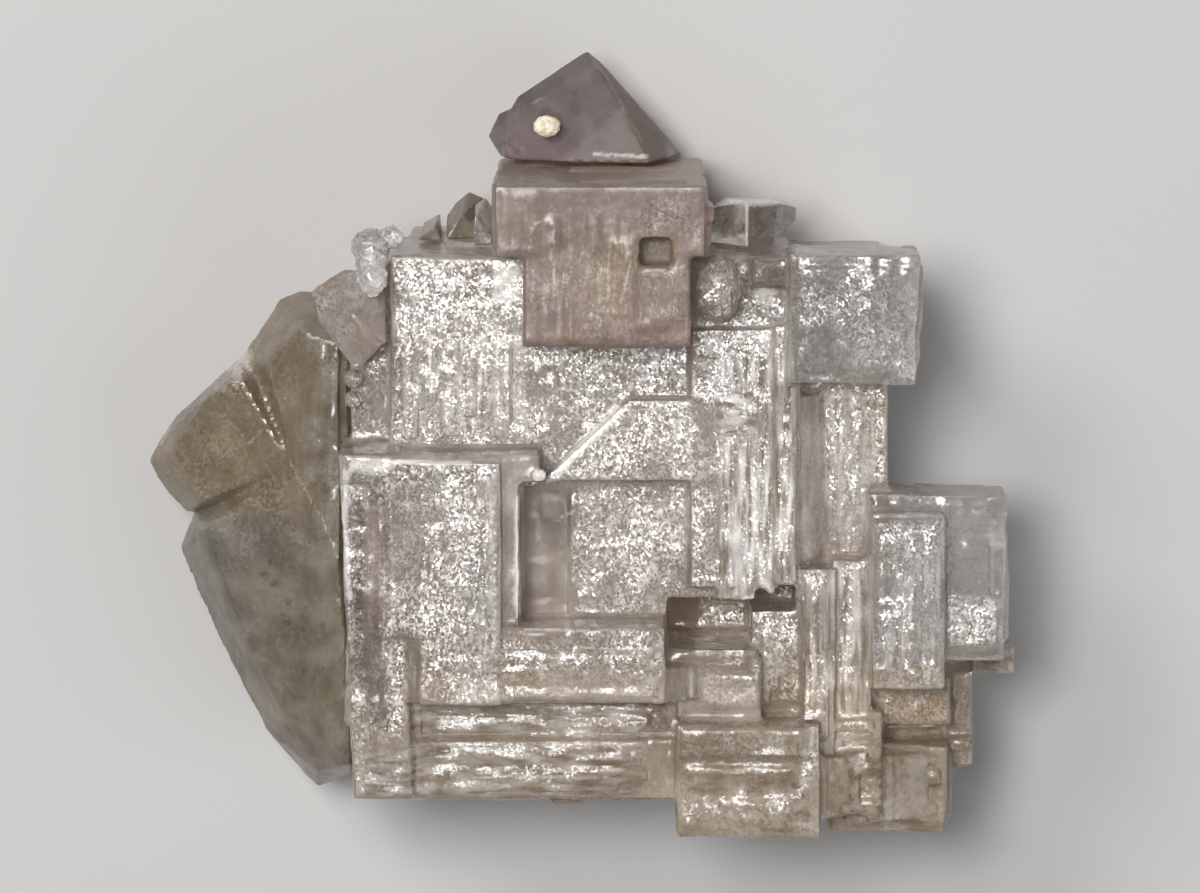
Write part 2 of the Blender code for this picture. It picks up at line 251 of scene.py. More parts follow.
def salt(name, pale, deep, absorbed, density, clear=0.97, frosted=0.72,
         gloss=0.08, matt=0.30, facet=0.14, speckle=0.62, coat=0.6):
    """See-through halite, whose surface wavers between the tints pale and deep.

    Where frost is 1 the face is etched into small leaning facets, whiter and less clear; at 0
    it is smooth and glassy. facet is their size, and coat is how strongly they glint.
    """
    material, g = new_material(name)
    where = g.add("ShaderNodeTexCoord").outputs["Object"]
    outward = g.add("ShaderNodeNewGeometry").outputs["Normal"]

    def trait(word):
        return g.add("ShaderNodeAttribute", attribute_name=word).outputs["Fac"]

    # The white trait is crust in places and painted highlight on lit edges and corners in others.
    frost, upright, level, haze, crust_and_highlight, dense = map(
        trait, ("frost", "upright", "level", "haze", "white", "dense"))

    # Facets: each cell of an etched face leans its own way, and so do broader cells under it.
    fine, broad = (g.add("ShaderNodeTexVoronoi", {"Vector": where, "Scale": scale / (facet * MM)})
                   for scale in (1.0, BROAD_SCALE))
    grain = g.noise(where, GRAIN_SIZE, 1.0, 0.6)
    leaning = g.vector("ADD", g.sway(fine, g.times(frost, FACET_LEAN)),
                       g.sway(broad, g.times(frost, BROAD_LEAN)))

    # Streaks along the two edge directions of the cube.
    tall = g.vector("MULTIPLY", where, (1.0, ALONG_RIBS, INTO_FACE))
    wide = g.vector("MULTIPLY", where, (ALONG_RIBS, 1.0, INTO_FACE))
    run = g.add("ShaderNodeMix", {4: tall, 5: wide, 0: level}, data_type="VECTOR").outputs[1]
    ribs = g.noise(run, RIB_SIZE, 2.0, 0.6)
    streaky = g.plus(upright, level, clamp=True)
    sideways = g.join(g.minus(1.0, g.times(level, RIB_RUN)),
                      g.minus(1.0, g.times(upright, RIB_RUN)), 1.0)
    ribbed = g.vector("MULTIPLY", g.sway(ribs, g.times(streaky, RIB_LEAN)), sideways)
    wavy = g.vector("ADD", g.sway(grain, GRAIN_LEAN), ribbed)
    normal = g.vector("NORMALIZE", g.vector("ADD", outward, g.vector("ADD", leaning, wavy)))

    # How white each spot is: facets by chance, streaks along their crests.
    chances = g.add("ShaderNodeSeparateColor", {0: fine.outputs["Color"]}).outputs
    fleck = g.span(g.plus(g.times(chances[1], 0.45), g.times(grain, 0.75)), 0.48, 0.78)
    white = g.mix(streaky, fleck, g.span(ribs, 0.40, 0.66))
    white = g.times(white, g.times(frost, speckle))
    broken = g.plus(g.times(chances[1], 0.35), grain)
    broken = g.span(g.plus(broken, crust_and_highlight), 0.70, 1.35)
    white = g.math("MAXIMUM", white, g.times(crust_and_highlight, broken))

    tint = g.blend(haze, rgb(*deep), rgb(*pale))
    for word, colour in TINTS.items():
        tint = g.blend(trait(word), tint, rgb(*colour))
    pepper = g.mix(streaky, g.span(chances[2], 0.60, 0.80), g.span(ribs, 0.5, 0.3))
    pepper = g.times(pepper, g.math("MAXIMUM", frost, streaky))
    tint = g.blend(pepper, tint, rgb(*PEPPER), how="MULTIPLY")
    # Flecks, crust and painted highlights whiten the tint.
    tint = g.blend(white, tint, rgb(*CRUST_AND_HIGHLIGHT))

    see_through = g.mix(frost, clear, frosted)
    see_through = g.minus(see_through, g.times(white, WHITE_BLOCKS), clamp=True)
    cloudy = g.times(dense, g.span(haze, 0.0, 1.0, 0.45, 1.15))
    see_through = g.times(see_through, g.minus(1.0, cloudy, clamp=True))
    rough = g.plus(g.mix(frost, gloss, matt), g.times(dense, 0.3))

    shader = g.add("ShaderNodeBsdfPrincipled", {
        "Base Color": tint, "Roughness": rough, "IOR": HALITE_IOR,
        "Transmission Weight": see_through, "Normal": normal,
        "Coat Weight": g.times(frost, coat), "Coat Roughness": 0.20,
        "Coat IOR": HALITE_IOR, "Coat Normal": normal})
    fog = g.add("ShaderNodeVolumeAbsorption", {"Color": rgb(*absorbed), "Density": density})
    g.add("ShaderNodeOutputMaterial", {"Surface": shader, "Volume": fog})
    return material


# ---- geometry node trees

def new_tree(name, numbers):
    """A geometry tree with a mesh input, named number inputs and one material input."""
    tree = bpy.data.node_groups.new(name, "GeometryNodeTree")
    face = tree.interface
    face.new_socket("Geometry", in_out="INPUT", socket_type="NodeSocketGeometry")
    for label, value in numbers.items():
        kind = "NodeSocketInt" if isinstance(value, int) else "NodeSocketFloat"
        face.new_socket(label, in_out="INPUT", socket_type=kind).default_value = value
    face.new_socket("Material", in_out="INPUT", socket_type="NodeSocketMaterial")
    face.new_socket("Geometry", in_out="OUTPUT", socket_type="NodeSocketGeometry")
    graph = Graph(tree)
    given = graph.add("NodeGroupInput")
    return tree, graph, given.outputs


def close_tree(graph, geometry, material):
    """Every tree ends in real geometry with its material on it."""
    real = graph.add("GeometryNodeRealizeInstances", {"Geometry": geometry})
    dressed = graph.add("GeometryNodeSetMaterial", {"Geometry": real, "Material": material})
    graph.add("NodeGroupOutput", {"Geometry": dressed})


def run_tree(made, tree, material, **values):
    """Runs a tree on an object and keeps the result as its plain mesh."""
    step = made.modifiers.new(tree.name, "NODES")
    step.node_group = tree
    for socket in tree.interface.items_tree:
        if socket.item_type != "SOCKET" or socket.in_out != "INPUT":
            continue
        if socket.name in values:
            step[socket.identifier] = values[socket.name]
        elif socket.name == "Material":
            step[socket.identifier] = material
    bake(made)


def bake(made):
    """Turns an object's live modifiers into plain mesh."""
    bpy.context.view_layer.update()
    seen = made.evaluated_get(bpy.context.evaluated_depsgraph_get())
    mesh = bpy.data.meshes.new_from_object(seen)
    made.modifiers.clear()
    old = made.data
    made.data = mesh
    bpy.data.meshes.remove(old)
    mesh.name = made.name


APART = 7.3  # keeps the three axes' random levels unlike
WANDER = 2.4  # how unevenly wide the terraces are
GROOVE_SIZE, PIT_SIZE = 0.9 * MM, 1.1 * MM
SWELL_SIZE, RIPPLE_SIZE = 9.0 * MM, 2.4 * MM
EVEN = (1.0, 1.0, 1.0)


def etching_tree():
    """Etches a crystal: cube-edged terraces, grooves along the cube's edges, swells and pits.

    It also breaks the painted frost into patches, and leaves a cloudy "haze" on the points.
    """
    numbers = {"Terrace Height": 0.16 * MM, "Terrace Width": 3.0 * MM, "Groove Depth": 0.12 * MM,
               "Pit Depth": 0.06 * MM, "Swell": 0.10 * MM, "Patch Size": 2.6 * MM,
               "Cloud Size": 4.5 * MM, "Seed": 1}
    tree, g, given = new_tree("etching", numbers)
    place = g.add("GeometryNodeInputPosition").outputs[0]
    normal = g.add("GeometryNodeInputNormal").outputs[0]
    parts = g.add("ShaderNodeSeparateXYZ", {0: place})
    seed = given["Seed"]

    def painted(name):
        return g.add("GeometryNodeInputNamedAttribute", {"Name": name},
                     data_type="FLOAT").outputs[0]

    def steps(width_share, shift):
        """A random level for each cell of an uneven grid that follows the cube's axes."""
        width = g.times(given["Terrace Width"], width_share)
        cells = []
        for axis in range(3):
            there = g.plus(g.math("DIVIDE", parts.outputs[axis], width), shift + axis * APART)
            wander = g.add("ShaderNodeTexNoise", {"W": there, "Scale": 0.7, "Detail": 1.0},
                           noise_dimensions="1D")
            cells.append(g.math("FLOOR", g.plus(there, g.times(wander, WANDER))))
        return g.add("ShaderNodeTexWhiteNoise", {"Vector": g.join(*cells), "W": seed},
                     noise_dimensions="4D").outputs[0]

    def wave(stretch, scale, detail):
        """Smooth noise from -0.5 to 0.5, stretched along the axes with small numbers."""
        there = g.vector("MULTIPLY", place, stretch)
        noise = g.add("ShaderNodeTexNoise",
                      {"Vector": there, "W": seed, "Scale": scale, "Detail": detail},
                      noise_dimensions="4D").outputs[0]
        return g.minus(noise, 0.5)

    levels = g.plus(g.times(steps(1.0, 0.0), 0.6), g.times(steps(0.45, 40.0), 0.4))
    levels = g.times(g.minus(levels, 0.5), given["Terrace Height"])
    upright = wave((1.0, 0.06, 0.3), 1.0 / GROOVE_SIZE, 3.0)
    level = wave((0.06, 1.0, 0.3), 1.0 / GROOVE_SIZE, 3.0)
    grooves = g.plus(g.times(upright, painted("upright")), g.times(level, painted("level")))
    grooves = g.times(grooves, given["Groove Depth"])
    pits = g.times(wave(EVEN, 1.0 / PIT_SIZE, 3.0),
                   g.times(given["Pit Depth"], g.plus(painted("frost"), 0.6)))
    ripple = g.times(wave(EVEN, 1.0 / RIPPLE_SIZE, 1.0), 0.8)
    swell = g.times(given["Swell"], g.plus(wave(EVEN, 1.0 / SWELL_SIZE, 1.0), ripple))
    rise = g.plus(g.plus(levels, grooves), g.plus(pits, swell))
    moved = g.add("GeometryNodeSetPosition",
                  {"Geometry": given["Geometry"], "Offset": g.scale(normal, rise)})

    patches = wave(EVEN, g.math("DIVIDE", 1.0, given["Patch Size"]), 3.0)
    patchy = g.times(painted("frost"), g.span(patches, -0.17, 0.17, 0.40, 1.35))
    clouds = wave((1.0, 1.0, 0.6), g.math("DIVIDE", 1.0, given["Cloud Size"]), 4.0)
    clouds = g.span(clouds, -0.15, 0.15)
    stored = moved
    for name, value in (("frost", patchy), ("haze", clouds)):
        stored = g.add("GeometryNodeStoreNamedAttribute",
                       {"Geometry": stored, "Name": name, "Value": value},
                       data_type="FLOAT", domain="POINT")
    smooth = g.add("GeometryNodeSetShadeSmooth", {0: stored})
    close_tree(g, smooth, given["Material"])
    return tree


def fleck_tree():
    """Scatters small, slightly turned cubes through a box: what is sealed inside a crystal."""
    numbers = {"Count": 100, "Width": 4.0 * MM, "Depth": 4.0 * MM, "Height": 4.0 * MM,
               "Smallest": 0.05 * MM, "Largest": 0.2 * MM, "Seed": 1}
    tree, g, given = new_tree("flecks", numbers)

    def chance(low, high, offset, kind="FLOAT"):
        seed = g.plus(given["Seed"], float(offset))
        low_at, high_at, out = (0, 1, 0) if kind == "FLOAT_VECTOR" else (2, 3, 1)
        return g.add("FunctionNodeRandomValue", {low_at: low, high_at: high, "Seed": seed},
                     data_type=kind).outputs[out]

    half = g.join(*(g.times(given[side], 0.5) for side in ("Width", "Depth", "Height")))
    spots = g.add("GeometryNodePoints", {
        "Count": given["Count"],
        "Position": chance(g.scale(half, -1.0), half, 0, "FLOAT_VECTOR")})
    size = chance(given["Smallest"], given["Largest"], 11)
    shape = g.join(size, size, g.times(size, 0.7))
    turn = g.scale(chance((-3.1,) * 3, (3.1,) * 3, 23, "FLOAT_VECTOR"), 0.1)
    cube = g.add("GeometryNodeMeshCube")
    made = g.add("GeometryNodeInstanceOnPoints",
                 {"Points": spots, "Instance": cube, "Rotation": turn, "Scale": shape})
    close_tree(g, made, given["Material"])
    return tree


# ---- building crystals

# Every place below counts from this point of the frame, as the layout of the solids does.
MIDDLE = Vector((0.2, -0.3, 0.0))
ROOT = 1.0  # how deep a growth step reaches into its crystal
SHARP_ANGLE = 0.38  # edges that bend more than this are drawn sharp
EDGE_BLUR, LINE_BLUR = 0.4, 0.15  # how far a painted region, or line, fades at its sides
TURN_BLUR = 4.0  # how sharply a region ends where a face turns away


def span_box(working, span_x, span_y, span_z, turn=0.0):
    """Adds a closed box, given by its spans in millimetres, to a working mesh."""
    spans = (span_x, span_y, span_z)
    middle = Vector([(low + high) / 2 for low, high in spans]) + MIDDLE
    size = Vector([high - low for low, high in spans])
    spin = Matrix.Rotation(math.radians(turn), 3, "Z")
    for vert in bmesh.ops.create_cube(working, size=1.0)["verts"]:
        vert.co = (spin @ (vert.co * size) + middle) * MM


def ridges(seed, span_x, span_y, top, count, course, width, rise):
    """Low growth ridges at random places on a face, whose course is along "x" or "y"."""
    draw = random.Random(seed)
    boxes = []
    for _ in range(count):
        across, run = (span_x, span_y) if course == "y" else (span_y, span_x)
        wide = draw.uniform(*width)
        start = draw.uniform(across[0], across[1] - wide)
        length = (run[1] - run[0]) * draw.uniform(0.25, 1.0)
        first = draw.uniform(run[0], run[1] - length)
        side, way = (start, start + wide), (first, first + length)
        spans = (side, way) if course == "y" else (way, side)
        boxes.append((*spans, (top - ROOT, top + draw.uniform(*rise))))
    return boxes


def wall_steps(seed, axis, plane, run, height, count, rise):
    """Thin growth plates on an upright wall that faces along axis 0 (x) or 1 (y).

    plane is where the wall is, and the sign of rise tells which way it faces.
    """
    draw = random.Random(seed)
    boxes = []
    for _ in range(count):
        wide, tall = draw.uniform(1.5, 7.0), draw.uniform(1.5, 9.0)
        wide, tall = min(wide, run[1] - run[0]), min(tall, height[1] - height[0])
        side = draw.uniform(run[0], run[1] - wide)
        low = draw.uniform(height[0], height[1] - tall)
        out = sorted((plane + draw.uniform(*rise), plane - (ROOT if rise[1] > 0.0 else -ROOT)))
        flat = [tuple(out), (side, side + wide)]
        boxes.append((*(flat if axis == 0 else flat[::-1]), (low, low + tall)))
    return boxes


def skin(name, node, voxel, extras=(), balls=()):
    """A fine closed mesh over a CAD node and the growth steps and knobs added to it."""
    working = bmesh.new()
    working.from_mesh(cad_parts[node].data)
    bmesh.ops.remove_doubles(working, verts=working.verts[:], dist=0.001 * MM)
    for spans in extras:
        span_box(working, *spans)
    for centre, radius in balls:
        place = Matrix.Translation((Vector(centre) + MIDDLE) * MM)
        bmesh.ops.create_icosphere(working, subdivisions=3, radius=radius * MM, matrix=place)
    mesh = bpy.data.meshes.new(name)
    working.to_mesh(mesh)
    working.free()
    made = add_object(name, mesh)
    shell = made.modifiers.new("shell", "REMESH")
    shell.mode = "VOXEL"
    shell.voxel_size = voxel * MM
    bake(made)
    return made


def thin_out(made, share):
    """Keeps a share of the triangles, and sharpens the edges that bend most."""
    if share < 1.0:
        step = made.modifiers.new("thin", "DECIMATE")
        step.ratio = share
        bake(made)
    made.data.set_sharp_from_angle(angle=SHARP_ANGLE)


def numbers_of(values, field, count):
    flat = np.empty(count * 3, np.float32)
    values.foreach_get(field, flat)
    return flat.reshape(-1, 3)


def along(width, *corners):
    """A region that follows a bent line across the face, as seen from above."""
    def share(points, normals):
        flat = points[:, :2]
        nearest = np.full(len(points), np.inf)
        for first, last in zip(corners, corners[1:]):
            start, way = np.array(first), np.subtract(last, first)
            reach = np.clip((flat - start) @ way / (way @ way), 0.0, 1.0)
            gap = np.linalg.norm(flat - start - reach[:, None] * way, axis=1)
            nearest = np.minimum(nearest, gap)
        return np.clip((width / 2 - nearest) / LINE_BLUR + 0.5, 0.0, 1.0) * (normals[:, 2] > 0.0)
    return share


def ring(width, centre, radius):
    """A region that follows a circle."""
    turns = [math.radians(a) for a in range(0, 361, 30)]
    return along(width, *((centre[0] + radius * math.cos(a), centre[1] + radius * math.sin(a))
                          for a in turns))


def inside(points, region, soft):
    """1 inside an x, y (and z) region in millimetres, falling to 0 over a soft edge."""
    share = np.ones(len(points))
    for axis in range(len(region) // 2):
        low, high = region[2 * axis], region[2 * axis + 1]
        reach = np.minimum(points[:, axis] - low, high - points[:, axis])
        share *= np.clip(reach / soft + 0.5, 0.0, 1.0)
    return share


def facing(direction, least=0.5):
    """A region that takes in every face turned towards a direction."""
    def share(points, normals):
        return np.clip((normals @ np.array(direction) - least) * TURN_BLUR + 0.5, 0.0, 1.0)
    return share


def paint(made, base, traits):
    """Writes the surface traits: each starts at its base and is laid over by its regions."""
    count = len(made.data.vertices)
    points = numbers_of(made.data.vertices, "co", count) / MM - np.array(MIDDLE)
    normals = numbers_of(made.data.vertex_normals, "vector", count)
    for name in SURFACE_TRAITS:
        value = np.full(count, base.get(name, 0.0))
        for label, entry in traits.get(name, {}).items():
            region, amount, *soft = entry if isinstance(entry, tuple) else (AREAS[label], entry)
            if callable(region):
                share = region(points, normals)
            else:
                share = inside(points, region, *(soft or [EDGE_BLUR]))
            value += (amount - value) * share
        store = made.data.attributes.new(name, "FLOAT", "POINT")
        store.data.foreach_set("value", value.astype(np.float32))


def settle(made, slot, *nodes):
    """Joins a finished piece to the body, and hides the solids it stands for."""
    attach(made, "root")
    if nodes:
        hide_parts(*nodes)


def ramp(span_x, span_y, first, last, steps):
    """A slope made of low steps, from one height at the low x to another at the high x."""
    wide, rise = (span_x[1] - span_x[0]) / steps, (last - first) / steps
    bed = min(first, last) - 2.0
    if rise > 0.0:
        return [((span_x[0] + i * wide, span_x[1]), span_y, (bed, first + rise * i))
                for i in range(1, steps)]
    return [((span_x[0], span_x[1] - i * wide), span_y, (bed, last - rise * i))
            for i in range(1, steps)]


def crystal(node, slot, material, voxel, base, traits, extras=(), balls=(), share=1.0, seed=1,
            **etch):
    """Builds one crystal's piece. etch gives lengths of the etching tree, in millimetres."""
    made = skin(f"{node}_skin", node, voxel, extras, balls)
    paint(made, base, traits)
    run_tree(made, ETCHING, material, Seed=seed,
             **{label.replace("_", " "): size * MM for label, size in etch.items()})
    thin_out(made, share)
    settle(made, slot, node)


# ---- the clear terraced crystal

ETCHING = etching_tree()
FLECKS = fleck_tree()

# Levels of the terraced crystal's faces above its cleaved back.
FRAME, CENTRE_FACE, FACE, LEDGE, STRIP, RIM, PLATEAU = 17.5, 19.2, 20.0, 21.0, 22.6, 23.6, 24.8

MAIN_FILLS = [
    *ramp((-14.8, -10.9), (-12, 0.1), RIM, PLATEAU, 9),  # rim and plateau run together
    *ramp((-13.2, -10.9), (-16.6, -12), RIM - 0.6, PLATEAU, 8),
    *ramp((-12.8, -9.4), (-23.3, -19.5), RIM, STRIP, 7),
    *ramp((-12.6, -9.8), (-19.6, -16.4), RIM - 0.4, LEDGE + 1.1, 6),
    *ramp((14.7, 16.9), (-7.4, 4.2), FACE + 0.9, FRAME + 0.2, 12),  # side of the ridged face
    *ramp((5.8, 8.7), (-16.6, -14.3), PLATEAU - 0.5, LEDGE + 0.6, 10),  # foot down to the sill
    *ramp((15.8, 19.6), (-25, -20.8), RIM - 0.5, FACE + 0.4, 14),  # foot cube to its neighbour
    *ramp((20, 24.4), (-25.7, -21), FACE + 0.2, 18.6, 14),
    ((-4.2, 6.6), (-19.5, -16.5), (19, LEDGE + 1.05)),  # levels the ledge
    ((-4.4, -0.6), (-11.6, -2.1), (17, 18.9)),  # floor of the smooth window
    ((5.6, 12), (-9.95, -8.9), (14, 19.25)),  # the pit's upper rim
    ((9.4, 12), (-9.95, -8.9), (14, 20.5)),
    ((6.2, 12.2), (-14.3, -13.3), (13, 21.3)),  # and its lower rim
]
MAIN_BALLS = [
    ((23, -14.9, 21.45), 0.6),  # bubbles
    ((20.9, -15.1, 21.4), 0.45),
    ((5.2, -17.9, 22.2), 0.5),  # brown knob
    ((-2.8, -0.75, 24.1), 0.45),  # white bead at the rim's corner
]
MAIN_PLATES = [
    ((14.9, 22.5), (6.3, 13.3), (21, 22.34), -1.2),
    ((20.4, 28.3), (-13.5, -3.7), (18.5, 19.68), -0.8),
    ((25.5, 28.9), (-13.2, -9.9), (18.5, 19.8), -0.8),
    ((20.7, 24.8), (-13.3, -5.4), (20.5, 21.6)),
    ((7, 15.5), (-20.3, -18.6), (22, 23.5)),
    ((7.9, 12.2), (-17.2, -15), (20.5, 21.7)),
    ((8.4, 15.9), (-25.6, -22.2), (22, 23.42)),
    ((9.6, 15), (-25.2, -23.6), (22, 23.55)),
    ((17.9, 24.6), (-26, -24.2), (17.5, 18.6), -1.5),
    ((-5.8, -4.35), (-11.8, -0.9), (20, 24)),  # smooth side of the plateau's arm
    ((-12, 4.3), (-19.9, -19.45), (21.6, 22.9)),  # bright line along the lower strip
]
MAIN_RIDGES = (
    # span in x, span in y, height, how many, course, widths, rises
    ((9.5, 13.4), (-9.6, 8.2), FACE + 0.5, 18, "y", (0.3, 0.8), (0.1, 0.3)),
    ((15.2, 20.9), (-7.2, 5.2), FRAME, 14, "y", (0.35, 0.9), (0.06, 0.2)),
    ((15.5, 17.4), (-20.9, -8), FACE + 0.7, 8, "y", (0.3, 0.7), (0.08, 0.28)),
    ((17.7, 19.9), (-24, -7.4), FACE + 0.1, 9, "y", (0.3, 0.7), (0.08, 0.28)),
    ((-12.3, -4), (1.2, 8), FACE, 12, "y", (0.3, 0.7), (0.08, 0.22)),
    ((-12, 6.3), (-19.2, -16.8), LEDGE + 1.05, 16, "x", (0.3, 0.6), (0.1, 0.35)),
    ((-15, 4.4), (-23.3, -19.9), STRIP, 16, "x", (0.3, 0.7), (0.1, 0.35)),
    ((-10.2, 5.4), (-16.2, -11.6), PLATEAU - 0.3, 12, "x", (0.3, 0.9), (0.1, 0.28)),
    ((7.2, 16), (-25.9, -20.6), RIM - 0.3, 12, "x", (0.3, 0.9), (0.08, 0.3)),
    ((17.6, 25.2), (-26.2, -20.8), 18.5, 10, "x", (0.3, 0.9), (0.12, 0.5)),
    ((20.2, 27.2), (-22.4, -16.2), 15, 10, "x", (0.3, 0.9), (0.12, 0.5)),
    ((12.1, 15.4), (-17.9, -12), CENTRE_FACE - 0.2, 6, "y", (0.3, 0.8), (0.1, 0.4)),
    ((20.4, 24.9), (-15.8, -4.2), 21.5, 6, "y", (0.3, 0.7), (0.08, 0.3)),
    ((-15.6, -12.6), (-22, -1.6), RIM, 7, "y", (0.3, 0.6), (0.06, 0.16)),
    ((16.5, 20.7), (-24.9, -18), 20.3, 7, "x", (0.3, 0.7), (0.12, 0.4)),
    ((-10.6, -6.2), (-15.5, -0.6), PLATEAU, 5, "y", (0.3, 0.6), (0.05, 0.18)),
)
OUT, BACK = (0.1, 0.34), (-0.34, -0.1)
MAIN_WALLS = (
    # axis it faces along, where, from and to, heights, how many plates, rises
    (1, -23.95, (-14.8, 6), (1, 21), 12, BACK),
    (1, -26.2, (6.8, 16.2), (3.5, 22), 7, BACK),
    (1, 14, (-13, 11.5), (1, 18.5), 12, OUT),
    (0, 21.2, (-9.5, 5.5), (1.5, 16), 9, OUT),
    (0, 29.5, (-13.8, -3.4), (13, 18.8), 5, OUT),
    (0, 23.2, (6, 13.6), (15.8, 21.6), 4, OUT),
    (0, -15.4, (-22.5, 12.5), (1.5, 14.5), 12, BACK),
    (0, -16.25, (-21.5, 0), (9.5, 22.6), 6, BACK),
    (0, 27.4, (-22, -16.2), (1.5, 14), 4, OUT),
    (1, 6, (15, 20.8), (1.5, 14.5), 5, OUT),
    (0, 25.6, (-26, -21), (2.5, 17.5), 4, OUT),
)
MAIN_STEPS = (MAIN_FILLS + MAIN_PLATES
              + [box for seed, row in enumerate(MAIN_RIDGES, 11) for box in ridges(seed, *row)]
              + [box for seed, row in enumerate(MAIN_WALLS, 41) for box in wall_steps(seed, *row)])

# Regions that several traits use. In the traits below, each name gives a region, an amount and
# at times how softly it fades, or just the amount for a region named here. Later ones lie over
# earlier ones.
MAUVE_PATH = ((-14.6, -3), (-14.2, -5), (-14.6, -7.8), (-14.4, -12.3), (-13.9, -17.5))
AREAS = {
    "back walls": facing((0, 1, 0)), "lower walls": facing((0, -1, 0)),
    "left walls": facing((-1, 0, 0)), "right walls": facing((1, 0, 0)),
    "lower strip": (-15, 4.5, -23.6, -19.4), "foot cube": (6.6, 16.5, -26.3, -18.6),
    "lower right blocks": (16.5, 28, -27, -16.2), "clear upper cube": (14.4, 23.6, 5, 15),
    "clear lower cube": (19.9, 29.8, -14.2, -2.1), "window": (-4.2, -0.9, -11.9, -2.3),
    "arm's side": (-5.8, -4.2, -12, 0.8), "rim's smooth end": (-5.8, -2.7, -1.5, 0.9),
    "rim's smooth back": (-16.2, -2.7, 0.1, 0.9), "side pit": (11.5, 15, -10.9, -8.8, 0, 18.6),
}
MAIN_FROST = {
    "upper face": ((-13.3, 7.6, 1.2, 14.4), 1),
    "its bright side": ((-13.2, -3.9, 7.8, 14.4), 1.25),
    "under the rose crystal": ((2, 12.5, 4.3, 9.6), 1.1),
    "cut-corner plate": ((-2.5, 7.6, -1.9, 4.1), 1.1),
    "centre": ((-0.2, 12.4, -11.8, -2.2), 0.9),
    "striated face": ((9.4, 15.2, -9.6, 9), 1.2),
    "right column": ((15.3, 21.4, -7.6, 4.3), 0.9),
    "plateau arm": ((-12.2, -5.8, -15.6, 0.8), 1.15),
    "plateau's lower end": ((-11.5, -6, -16.7, -9.5), 1.3, 1.5),
    "plateau foot": ((-6, 5.9, -16.7, -11.3), 0.64),
    "left rim": ((-16.4, -12.3, -23.5, 0.8), 0.75),
    "left rim's flecked side": ((-13.6, -11.9, -19, -8), 1),
    "ledge": ((-12.3, 6.6, -19.3, -16.8), 0.6),
    "lower strip": 0.56,
    "smooth end of the strip": ((4.6, 6.8, -23.6, -19.4), 0.15),
    "sill": ((6.7, 12.5, -17.3, -14.9), 0.45),
    "sill's smooth back": ((6.7, 12.5, -14.9, -13.9), 0.1),
    "pit block": ((11.8, 15.5, -17.6, -11.4), 1.05),
    "foot cube": 0.38,
    "foot cube's smooth back": ((6.6, 15.6, -18.6, -17), 0.05),
    "lower right blocks": 0.42,
    "columns": ((15.2, 20, -22.6, -7.2), 0.9),
    "window's rim": (along(0.5, (-4.3, -2), (-4.4, -9.7)), 0),
    "clear upper cube": 0.36,
    "its flecked corner": ((15.2, 20.5, 9.5, 13.6), 0.65, 1.5),
    "clear lower cube": 0.2,
    "its front block": ((20.4, 25.3, -15, -4.4), 0.55),
    "its glinting corner": ((25.5, 29, -13.2, -9.9), 1.2),
    "window": 0, "arm's side": 0.08, "rim's smooth end": 0.1, "rim's smooth back": 0.12,
    "dissolved pit": ((8.2, 11.9, -13.2, -9, 0, 18), 1.15),
    "its smooth side": ((5.8, 8.2, -13.2, -9, 0, 18.5), 0),
    "rim's mauve streak": (along(1.4, *MAUVE_PATH), 0.35),
    "back walls": 0.3, "left walls": 0.4, "right walls": 0.4, "lower walls": 0.4,
    "cleaved back": (facing((0, 0, -1)), 0.3),
    "beside the ridged face": ((15.1, 17.2, -7.4, 4.2, 17.9, 21.5), 0.9),
    "pit's lower wall": ((7.9, 12.3, -13.6, -12.9, 12, 20.7), 1.15),
}
MAIN_UPRIGHT = {
    "upper face": ((-13.2, -1, 1.5, 10), 0.45),
    "striated face": ((9.4, 14.9, -9.6, 7), 1),
    "right column": ((15.4, 20.6, -7.4, 4.2), 0.55),
    "columns": ((15.2, 20, -20, -7.4), 0.85),
    "front block": ((20.6, 25.2, -14.5, -7), 0.6),
    "strip's end": ((4.6, 6.7, -23.4, -14), 0.6),
    "left rim": ((-15.2, -12.6, -17, -2), 0.35),
    "plateau's side": ((-7.4, -5.8, -14, -0.8), 0.45),
    "arm's side": ((-5.8, -4.2, -12, 0.4), 0.35),
    "left walls": 0.65, "right walls": 0.55,
}
MAIN_LEVEL = {
    "ledge": ((-12.2, 6.2, -19.3, -16.7), 0.85),
    "lower strip": ((-15.4, 4.4, -23.6, -19.5), 0.9),
    "plateau foot": ((-9, 5.6, -16.7, -14), 0.45),
    "foot cube": ((7, 16.2, -26, -20.6), 0.65),
    "lower right blocks": ((17, 25.4, -26.8, -19.6), 0.6),
    "back of the striated face": ((9, 12.4, 1.5, 4.8), 0.8),
    "lower walls": 0.65, "back walls": 0.6,
}
